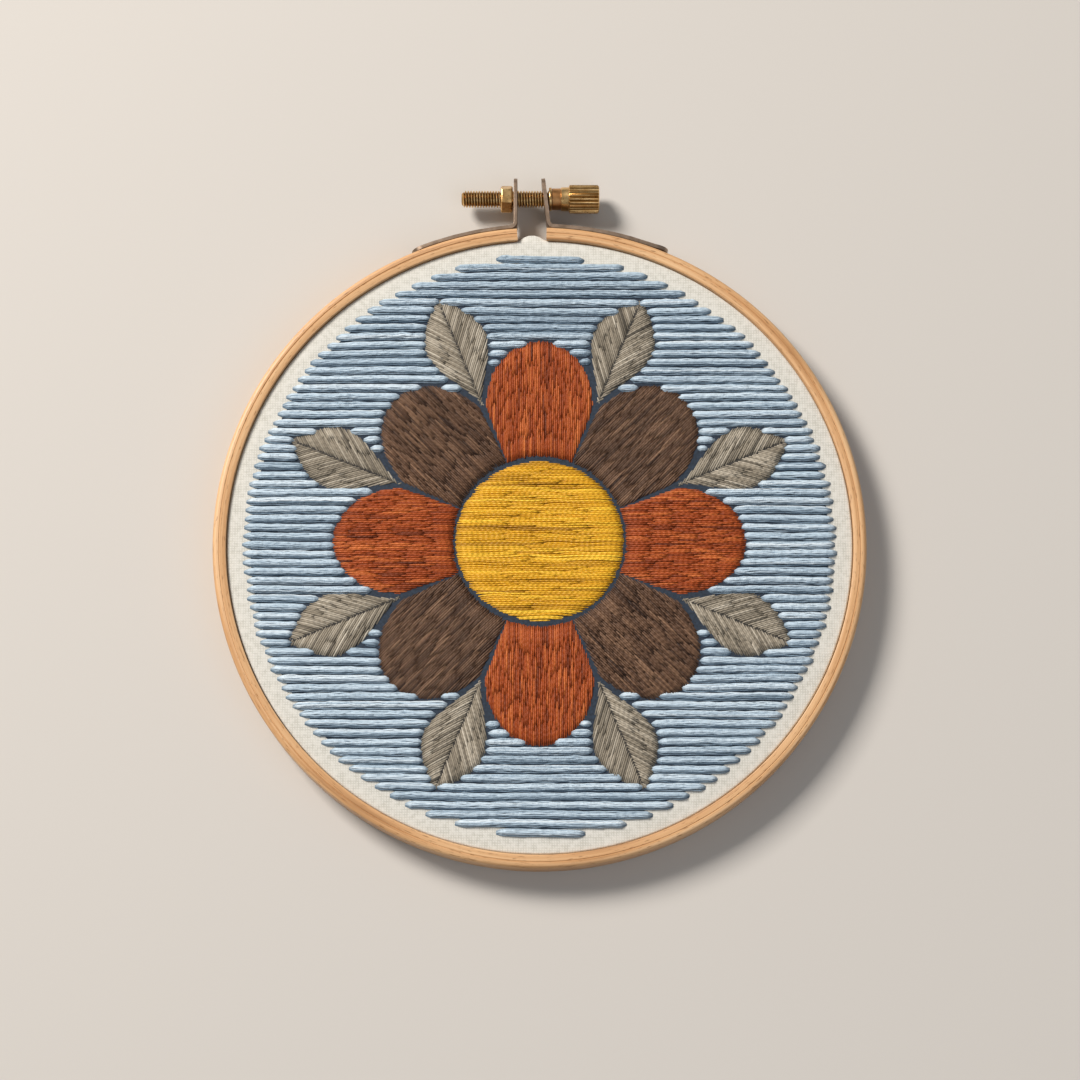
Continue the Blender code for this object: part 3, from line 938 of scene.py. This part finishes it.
class Strands:
    """Stitches of one floss, gathered as curves and turned into one mesh of round threads."""

    BEVEL_RESOLUTION = 1
    # A bevel of that resolution has this many sides.
    SIDES = 6
    # A stitch's ends are drawn out by a share of its radius, to a point.
    END_REACH = 0.6
    END_WIDTH = 0.75

    def __init__(self, radius: float, twist_pitch: float = 1.3 * MM) -> None:
        """Start with no stitches.

        Args:
            radius: the thread's radius.
            twist_pitch: the length of one turn of its twist.
        """
        self.radius = radius
        self.twist_pitch = twist_pitch
        self.curve = bpy.data.curves.new("strands", "CURVE")
        self.curve.dimensions = "3D"
        self.curve.bevel_depth = radius
        self.curve.bevel_resolution = self.BEVEL_RESOLUTION
        self.curve.twist_mode = "Z_UP"
        self.tones: list[float] = []
        self.depth_and_painted_shade: list[float] = []
        self.twist: list[float] = []

    def stitch(self, points: list[Vector], tone: float, depth_and_painted_shade: list[float]) -> None:
        """Lay one stitch, drawn to a point at both ends.

        Args:
            points: its route.
            tone: its colour, from 0 dark to 1 light.
            depth_and_painted_shade: for each point, how much painted shade darkens it, 0 to 1.
        """
        points = [points[0].copy(), *points, points[-1].copy()]
        reach = self.radius * self.END_REACH
        points[0] += (points[1] - points[2]).normalized() * reach
        points[-1] += (points[-2] - points[-3]).normalized() * reach
        # The drawn-out tips lie fully in painted shade.
        depth_and_painted_shade = [1.0, *depth_and_painted_shade, 1.0]
        spline = self.curve.splines.new("POLY")
        spline.points.add(len(points) - 1)
        spline.use_smooth = True
        along = random.random()
        for number, (target, place) in enumerate(zip(spline.points, points)):
            target.co = (*place, 1.0)
            end = number in (0, len(points) - 1)
            near = number in (1, len(points) - 2)
            target.radius = 0.0 if end else self.END_WIDTH if near else 1.0
            if number:
                along += (place - points[number - 1]).length / self.twist_pitch
            for side in range(self.SIDES):
                self.tones.append(tone)
                self.depth_and_painted_shade.append(depth_and_painted_shade[number])
                self.twist.append(along + side / self.SIDES)

    def into(self, bm: bmesh.types.BMesh) -> None:
        """Add all stitches to a bmesh as closed tubes.

        Args:
            bm: the bmesh to add to, which carries the stitches' tone, painted shade and twist as
                attributes.
        """
        holder = bpy.data.objects.new("strands", self.curve)
        mesh = bpy.data.meshes.new_from_object(holder)
        for name, values in (("tone", self.tones), ("depth_and_painted_shade", self.depth_and_painted_shade), ("twist", self.twist)):
            layer = mesh.attributes.new(name, "FLOAT", "POINT")
            layer.data.foreach_set("value", values)
        bm.from_mesh(mesh)
        bpy.data.objects.remove(holder)
        bpy.data.curves.remove(self.curve)
        bpy.data.meshes.remove(mesh)
        bmesh.ops.remove_doubles(bm, verts=bm.verts, dist=MERGE)


@dataclass
class Field:
    """A shape to be filled with stitches, in the hoop's own flat coordinates."""

    outline: list[Point]
    direction: float

    def depth(self, point: Point) -> float:
        """Measure how far a point is from the outline.

        Args:
            point: a point in the hoop's coordinates.

        Returns:
            The distance to the nearest edge.
        """
        x, y = point
        best = math.inf
        for (ax, ay), (bx, by) in zip(self.outline, self.outline[1:] + self.outline[:1]):
            dx, dy = bx - ax, by - ay
            t = ((x - ax) * dx + (y - ay) * dy) / max(dx * dx + dy * dy, MERGE**2)
            t = min(1.0, max(0.0, t))
            best = min(best, math.hypot(x - ax - t * dx, y - ay - t * dy))
        return best


@dataclass(frozen=True)
class Drift:
    """An uneven wandering: how far it goes either way, and the length of its waves."""

    reach: float
    length: float

    def at(self, along: float, across: float, layer: float = 0.0) -> float:
        """Give the wandering at a place along the thread, and across in wave lengths."""
        return self.reach * noise.noise(Vector((along / self.length, across, layer)))


@dataclass(frozen=True)
class Stitching:
    """How a field is filled: its shortest and longest stitch, and how each one wanders."""

    shortest: float
    longest: float
    wave: Drift


def spans(outline: list[Point], y: float) -> list[tuple[float, float]]:
    """Cut an outline with a line along X.

    Args:
        outline: a closed outline.
        y: the line's height.

    Returns:
        The stretches of the line that lie inside, from left to right.
    """
    crossings = []
    for (ax, ay), (bx, by) in zip(outline, outline[1:] + outline[:1]):
        if (ay <= y) != (by <= y):
            crossings.append(ax + (bx - ax) * (y - ay) / (by - ay))
    crossings.sort()
    return list(zip(crossings[::2], crossings[1::2]))


@dataclass
class Needlework:
    """The worked disc: laid rows round a flower with a centre, petals and leaves."""

    radius: float = 72.3 * MM
    row_pitch: float = 2.2 * MM
    row_strands: int = 5
    row_strand_radius: float = 0.24 * MM
    row_twist: float = 2.2 * MM
    row_step: float = 1.25 * MM
    strand_spacing: float = 0.37 * MM
    row_height: float = 0.95 * MM
    row_fall: float = 0.58 * MM
    row_rim: float = 0.6 * MM
    # How far a row's end may stand out or in.
    row_ragged: Point = (0.5 * MM, 0.35 * MM)
    row_sway: Drift = Drift(0.45 * MM, 22 * MM)
    sway_width: float = 9 * MM
    row_jitter: Drift = Drift(0.22 * MM, 2.5 * MM)
    row_loose: Drift = Drift(0.24 * MM, 2.2 * MM)
    row_bedding: float = 0.08 * MM
    # At its ends a row closes up to a share of its width and dives in, darkened there with painted
    # shade.
    end_share: float = 0.35
    end_closing: float = 1.5 * MM
    end_dive: float = 0.4 * MM
    end_shade_reach: float = 0.35 * MM
    row_shade: float = 0.6
    # Tones are given by their mean and spread. The rows differ and darken at the top.
    strand_tone: Point = (0.55, 0.13)
    row_tone: float = 0.1
    top_dark: float = 0.16
    top_from: float = 0.55
    underlay_inset: float = 1.6 * MM
    shortest_row: float = 2.4 * MM
    stitch_pitch: float = 0.47 * MM
    stitch_radius: float = 0.27 * MM
    stitch_step: float = 1.5 * MM
    shortest_stitch: float = 0.3 * MM
    # How far stitches reach past a field's edge, at least and at most.
    overrun: Point = (0.35 * MM, 0.65 * MM)
    overlap: float = 0.35 * MM
    # A rest shorter than this share of a stitch is taken into it.
    last_share: float = 1.35
    stitch_lift: float = 0.035 * MM
    stitch_shift: float = 0.06 * MM
    stitch_tone: Point = (0.52, 0.17)
    band: Drift = Drift(0.22, 2.2 * MM)
    wave_width: float = 2 * MM
    end_dip: float = 0.14 * MM
    bedding: float = 0.1 * MM
    # Painted shade: darker near a field's edge and at a stitch's dipping ends.
    edge_shade: float = 0.4
    end_shade: float = 0.3
    crown: float = 0.82 * MM
    edge_slope: float = 0.75 * MM
    shade_reach: float = 0.3 * MM
    gap: float = 0.3 * MM
    centre_radius: float = 20.0 * MM
    petals: int = 8
    petal_tip: float = 50.0 * MM
    petal_middle: float = 34.0 * MM
    petal_half_width: float = 13.3 * MM
    leaf_start: float = 37.0 * MM
    leaf_tip: float = 65.5 * MM
    leaf_half_width: float = 7.5 * MM
    leaf_skew: float = 1.3
    leaf_slant: float = math.radians(38)
    centre_stitching: Stitching = Stitching(9 * MM, 22 * MM, Drift(0.35 * MM, 7 * MM))
    petal_stitching: Stitching = Stitching(4 * MM, 8 * MM, Drift(0.12 * MM, 7 * MM))
    leaf_stitching: Stitching = Stitching(5 * MM, 9 * MM, Drift(0.06 * MM, 7 * MM))
    sharp_degrees: float = 60
    seed: int = 7

    def __post_init__(self) -> None:
        """Take the cloth's face and the hoop's centre from the frame, and dye the floss."""
        self.centre = hoop_centre()
        self.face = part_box("cloth")[1][2]
        self.fields: list[list[Point]] = []
        self.floss = {shade: dyed(shade, "satin") for shade in Shade if shade is not Shade.BLUE}

    def lifted(self, x: float, y: float, height: float) -> Vector:
        """Give a point of the needlework, at a height above the cloth."""
        return self.centre + Vector((x, y, self.face + height))

    def padding(self, bm: bmesh.types.BMesh, outline: list[Point], height: float) -> None:
        """Lay the underlay of a field, a low dome in the bmesh's second material, dark as painted
        shade.

        Args:
            bm: the bmesh to add to.
            outline: the field's outline.
            height: how high it stands in the middle.
        """
        mx = sum(x for x, _ in outline) / len(outline)
        my = sum(y for _, y in outline) / len(outline)
        rim = [bm.verts.new(self.lifted(x, y, -0.05 * MM)) for x, y in outline]
        base = bm.faces.new(rim)
        base.material_index = 1
        tops = [base]
        for share, up in ((1.0, 0.12 * MM), (0.8, height)):
            grown = bmesh.ops.extrude_face_region(bm, geom=tops)["geom"]
            if share < 1:
                bmesh.ops.delete(bm, geom=tops, context="FACES_ONLY")
            tops = [item for item in grown if isinstance(item, bmesh.types.BMFace)]
            for vertex in (item for item in grown if isinstance(item, bmesh.types.BMVert)):
                flat = vertex.co - self.centre
                vertex.co.x = self.centre.x + mx + (flat.x - mx) * share
                vertex.co.y = self.centre.y + my + (flat.y - my) * share
                vertex.co.z = self.face + up
        bmesh.ops.recalc_face_normals(bm, faces=bm.faces)

    def fill(self, strands: Strands, field: Field, stitching: Stitching) -> None:
        """Fill a field with rows of parallel stitches that meet end to end.

        Args:
            strands: the floss.
            field: the shape and the stitches' direction.
            stitching: the stitches' lengths and how far they wander.
        """
        outline = turned(field.outline, -field.direction)
        low = min(y for _, y in outline)
        high = max(y for _, y in outline)
        lines = int((high - low) / self.stitch_pitch)
        for line in range(lines + 1):
            y = low + (high - low) * (line + 0.5) / (lines + 1)
            band = self.band.at(y, field.direction * 9, 0.3)
            for left, right in spans(outline, y):
                left -= random.uniform(*self.overrun)
                right += random.uniform(*self.overrun)
                x = left
                while x < right - self.shortest_stitch:
                    reach = random.uniform(stitching.shortest, stitching.longest)
                    end = right if right - x < reach * self.last_share else x + reach
                    self.satin(strands, field, (x, end), y, stitching.wave, band)
                    x = end - random.uniform(0.0, self.overlap)
                    if end >= right:
                        break

    def satin(
        self, strands: Strands, field: Field, reach: Point, y: float, wave: Drift, band: float
    ) -> None:
        """Lay one stitch over the field's dome.

        Args:
            strands: the floss.
            field: the field that it lies in.
            reach: where it starts and ends along the field's own X.
            y: its place across.
            wave: how it wanders sideways.
            band: the tone that it shares with its neighbours, added to its own.
        """
        start, end = reach
        steps = max(3, int((end - start) / self.stitch_step))
        lift = random.gauss(0, self.stitch_lift)
        shift = random.uniform(-self.stitch_shift, self.stitch_shift)
        mean, spread = self.stitch_tone
        tone = min(1.0, max(0.0, random.gauss(mean + band, spread)))
        points, depth_and_painted_shade = [], []
        for i in range(steps + 1):
            t = i / steps
            x = start + (end - start) * t
            swing = wave.at(x, y / self.wave_width, field.direction)
            [(px, py)] = turned([(x, y + shift + swing)], field.direction)
            inset = field.depth((px, py))
            rise = 1 - math.exp(-inset / self.edge_slope)
            dip = abs(2 * t - 1) ** 8
            height = self.crown * rise - self.end_dip * dip + lift
            points.append(self.lifted(px, py, height - self.bedding))
            # Painted shade near the field's edge and at the stitch's ends.
            shade = self.edge_shade * math.exp(-inset / self.shade_reach)
            depth_and_painted_shade.append(min(1.0, shade + self.end_shade * dip))
        strands.stitch(points, tone, depth_and_painted_shade)

    def work(
        self,
        node: str,
        parts: list[Field],
        whole: list[Point],
        shade: Shade,
        stitching: Stitching,
    ) -> Piece:
        """Work one field and put it in the place of its node.

        Args:
            node: the node that it replaces.
            parts: the shapes to fill, each with its own direction.
            whole: the outline of all of them together.
            shade: the floss's colour.
            stitching: the stitches' lengths and how far they wander.

        Returns:
            The worked field.
        """
        self.fields.append(whole)
        strands = Strands(self.stitch_radius)
        for part in parts:
            self.fill(strands, part, stitching)
        bm = bmesh.new()
        strands.into(bm)
        self.padding(bm, whole, self.crown - 0.42 * MM)
        floss = self.floss[shade]
        sharp = self.sharp_degrees
        return make_piece(f"{node}_floss", bm, floss, Body.HOOP, sharp, node)

    def petal_half(self, along: float) -> float:
        """Give half a petal's width at a distance from the centre."""
        sector = along * math.tan(math.pi / self.petals) - self.gap / 3
        beyond = max(0.0, along - self.petal_middle) / (self.petal_tip - self.petal_middle)
        return min(sector, self.petal_half_width * math.sqrt(max(0.0, 1 - beyond**2)))

    def petal(self) -> list[Point]:
        """Draw a petal along +X: a wedge from the centre field, with a rounded end.

        Returns:
            Its outline.
        """
        start = self.centre_radius + 0.5 * self.gap
        reach = self.petal_tip - self.petal_middle
        steps = 10
        right = []
        for i in range(steps + 1):
            along = self.petal_middle + reach * math.sin(i / steps * math.pi / 2)
            right.append((along, self.petal_half(along)))
        spread = math.atan2(self.petal_half(start), start)
        base = arc_points((0, 0), math.hypot(start, self.petal_half(start)), -spread, spread, 6)
        return base + right + [(x, -y) for x, y in reversed(right[:-1])]

    def leaf_side(self, side: int) -> list[Point]:
        """Draw one edge of a leaf along +X.

        Args:
            side: 1 for the left edge, -1 for the right.

        Returns:
            The edge, from the leaf's base to its tip.
        """
        steps = 16
        points = []
        for i in range(steps + 1):
            t = i / steps
            half = self.leaf_half_width * math.sin(math.pi * t**self.leaf_skew)
            points.append((self.leaf_start + (self.leaf_tip - self.leaf_start) * t, side * half))
        return points

    def leaf(self, number: int, angle: float) -> Piece:
        """Work one leaf in two halves that slant from its vein.

        Args:
            number: the leaf's number.
            angle: its direction from the centre, in radians.

        Returns:
            The leaf.
        """
        halves = []
        for side in (-1, 1):
            edge = self.leaf_side(side)
            vein = [(x, 0.0) for x, _ in reversed(edge[1:-1])]
            halves.append(Field(turned(edge + vein, angle), angle + side * self.leaf_slant))
        whole = turned(self.leaf_side(1) + self.leaf_side(-1)[-2:0:-1], angle)
        return self.work(f"leaf_{number}", halves, whole, Shade.GREY, self.leaf_stitching)

    def flower(self) -> list[Piece]:
        """Work the centre, the petals and the leaves.

        Returns:
            Their pieces.
        """
        disc = arc_points((0, 0), self.centre_radius, 0, math.tau, 72)[:-1]
        middle = [Field(disc, 0.0)]
        pieces = [self.work("centre", middle, disc, Shade.YELLOW, self.centre_stitching)]
        shades = (Shade.RUST, Shade.BROWN)
        for index in range(self.petals):
            number = index + 1
            angle = index * math.tau / self.petals
            petal = turned(self.petal(), angle)
            fields = [Field(petal, angle)]
            shade = shades[index % 2]
            pieces.append(self.work(f"petal_{number}", fields, petal, shade, self.petal_stitching))
            pieces.append(self.leaf(number, angle + math.pi / self.petals))
        return pieces

    def free_stretches(self, y: float) -> list[tuple[float, float]]:
        """Find where a row of the ground is left by the flower.

        Args:
            y: the row's place, from the hoop's centre.

        Returns:
            The stretches that the row covers, from left to right.
        """
        half = math.sqrt(max(0.0, self.radius**2 - y**2))
        free = [(-half, half)]
        for outline in self.fields:
            for a, b in spans(outline, y):
                a, b = a - self.gap / 3, b + self.gap / 3
                free = [
                    piece
                    for left, right in free
                    for piece in ((left, min(right, a)), (max(left, b), right))
                    if piece[1] > piece[0]
                ]
        return [
            (a, b)
            for a, b in free
            if b - a > self.shortest_row and math.hypot((a + b) / 2, y) > self.petal_middle
        ]

    def rows(self) -> Piece:
        """Lay the ground in rows of parallel strands.

        Returns:
            The laid rows.
        """
        floss = dyed(Shade.BLUE, "laid", wrinkle_cells=1.31579, relief=0.62 * MM, ply_share=0.05)
        strands = Strands(self.row_strand_radius, self.row_twist)
        count = 2 * math.ceil(self.radius / self.row_pitch)
        for row in range(count):
            y = (row + 0.5 - count / 2) * self.row_pitch
            if abs(y) > self.radius - self.row_rim:
                continue
            high = max(0.0, y / self.radius - self.top_from) / (1 - self.top_from)
            shade = random.uniform(-self.row_tone, self.row_tone) - self.top_dark * high
            outwards, inwards = self.row_ragged
            for left, right in self.free_stretches(y):
                left += random.uniform(-outwards, inwards)
                right += random.uniform(-inwards, outwards)
                self.row(strands, (left, right), y, shade)
        bm = bmesh.new()
        strands.into(bm)
        # The dark underlay disc shows between the rows as painted shade.
        disc = arc_points((0, 0), self.radius - self.underlay_inset, 0, math.tau, 120)[:-1]
        self.padding(bm, disc, 0.2 * MM)
        sharp = self.sharp_degrees
        return make_piece("rows_floss", bm, floss, Body.HOOP, sharp, "rows")

    def row(self, strands: Strands, reach: Point, y: float, shade: float) -> None:
        """Lay one row: strands side by side that rise to its middle and close up at its ends.

        Args:
            strands: the floss.
            reach: where the row starts and ends.
            y: its place, from the hoop's centre.
            shade: how much lighter it is than the rest.
        """
        left, right = reach
        steps = max(3, int((right - left) / self.row_step))
        half = (self.row_strands - 1) / 2 * self.strand_spacing
        for strand in range(self.row_strands):
            side = strand * self.strand_spacing - half
            tone = min(1.0, max(0.0, random.gauss(*self.strand_tone) + shade))
            # Painted shade: the light comes from above, so a row's lower strands are darkened.
            low_side = max(0.0, -side / half)
            phase = random.uniform(0, 50)
            points, depth_and_painted_shade = [], []
            for i in range(steps + 1):
                x = left + (right - left) * i / steps
                from_end = min(x - left, right - x)
                inner = min(1.0, from_end / self.end_closing)
                close = self.end_share + (1 - self.end_share) * inner
                sway = self.row_sway.at(x, y / self.sway_width)
                jitter = self.row_jitter.at(x, phase)
                arch = 1 - math.exp(-from_end / self.end_dive)
                fall = self.row_fall * (side / half) ** 2
                loose = self.row_loose.at(x, phase, 7.0)
                height = (self.row_height - fall) * arch + loose - self.row_bedding
                points.append(self.lifted(x, y + side * close + sway + jitter, height))
                # Painted shade at the row's ends, where it dives in.
                end_shade = math.exp(-from_end / self.end_shade_reach)
                depth_and_painted_shade.append(min(1.0, self.row_shade * (low_side + end_shade)))
            strands.stitch(points, tone, depth_and_painted_shade)

    def build(self) -> list[Piece]:
        """Work the whole disc, the flower first and the rows round it.

        Returns:
            The worked fields and the rows.
        """
        random.seed(self.seed)
        return [*self.flower(), self.rows()]


@dataclass
class Studio:
    """A pale floor, soft light from the upper left, and the camera over the hoop."""

    lens: float = 95.4
    distance: float = 0.70
    shift: Point = (0.0003, 0.0009)
    elevation: float = math.radians(78.4)
    floor_size: float = 4.0

    def softbox(self, name: str, place: Vector, size: float, watts: float, colour: str) -> None:
        """Hang a square softbox that faces the hoop.

        Args:
            name: the light's name.
            place: where it hangs.
            size: its side.
            watts: its power.
            colour: its colour.
        """
        light = bpy.data.lights.new(name, "AREA")
        light.size = size
        light.energy = watts
        light.color = linear(colour)[:3]
        lamp = bpy.data.objects.new(name, light)
        lamp.location = place
        lamp.rotation_mode = "QUATERNION"
        lamp.rotation_quaternion = (hoop_centre() - place).to_track_quat("-Z", "Y")
        bpy.context.scene.collection.objects.link(lamp)

    def floor(self) -> None:
        """Lay a plain sheet of paper as the floor."""
        bm = bmesh.new()
        bmesh.ops.create_grid(bm, x_segments=1, y_segments=1, size=self.floor_size / 2)
        mesh = bpy.data.meshes.new("floor")
        bm.to_mesh(mesh)
        bm.free()
        # Uncoated paper: pale grey, quite matt, without a pattern.
        paper, tree, shader = Finish("paper_backdrop", 0.85).start()
        feed(tree, shader, {"Base Color": linear("#CAC7C2")})
        mesh.materials.append(paper)
        floor = bpy.data.objects.new("floor", mesh)
        bpy.context.scene.collection.objects.link(floor)

    def lights(self) -> None:
        """Hang the two softboxes in a pale room."""
        upper_left = Vector((-1.04, 0.90, 1.22))
        lower_right = Vector((0.5, -0.5, 0.9))
        self.softbox("key", upper_left, size=0.61, watts=45.0, colour="#FFF7EF")
        self.softbox("fill", lower_right, size=0.9, watts=2.4, colour="#EEF3FF")
        world = bpy.data.worlds.new("studio")
        world.use_nodes = True
        sky = world.node_tree.nodes["Background"]
        feed(world.node_tree, sky, {"Color": linear("#F4F2EE"), "Strength": 0.24})
        bpy.context.scene.world = world
        bpy.context.scene.view_settings.view_transform = "Standard"

    def camera(self) -> None:
        """Aim the camera at the cloth's middle, from the photograph's angle."""
        data = bpy.data.cameras.new("camera")
        data.lens = self.lens
        data.sensor_width = 36.0
        data.shift_x, data.shift_y = self.shift
        camera = bpy.data.objects.new("camera", data)
        back = Vector((0.0, -math.cos(self.elevation), math.sin(self.elevation)))
        aim = hoop_centre() + Vector((0.0, 0.0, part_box("cloth")[1][2]))
        camera.location = aim + back * self.distance
        camera.rotation_mode = "QUATERNION"
        camera.rotation_quaternion = (-back).to_track_quat("-Z", "Y")
        bpy.context.scene.collection.objects.link(camera)
        bpy.context.scene.camera = camera

    def build(self) -> None:
        """Set up the floor, the lights and the camera."""
        self.floor()
        self.lights()
        self.camera()


def main() -> None:
    """Build the studio, the hoop, the cloth, the clamp and the needlework, and log each piece."""
    logging.basicConfig(level=logging.INFO)
    Studio().build()
    for maker in (WoodenHoop(), StretchedCotton(), Clamp(), Needlework()):
        for piece in maker.build():
            LOG.info("%s: %d faces", piece.name, len(piece.data.polygons))


if __name__ == "__main__":
    main()
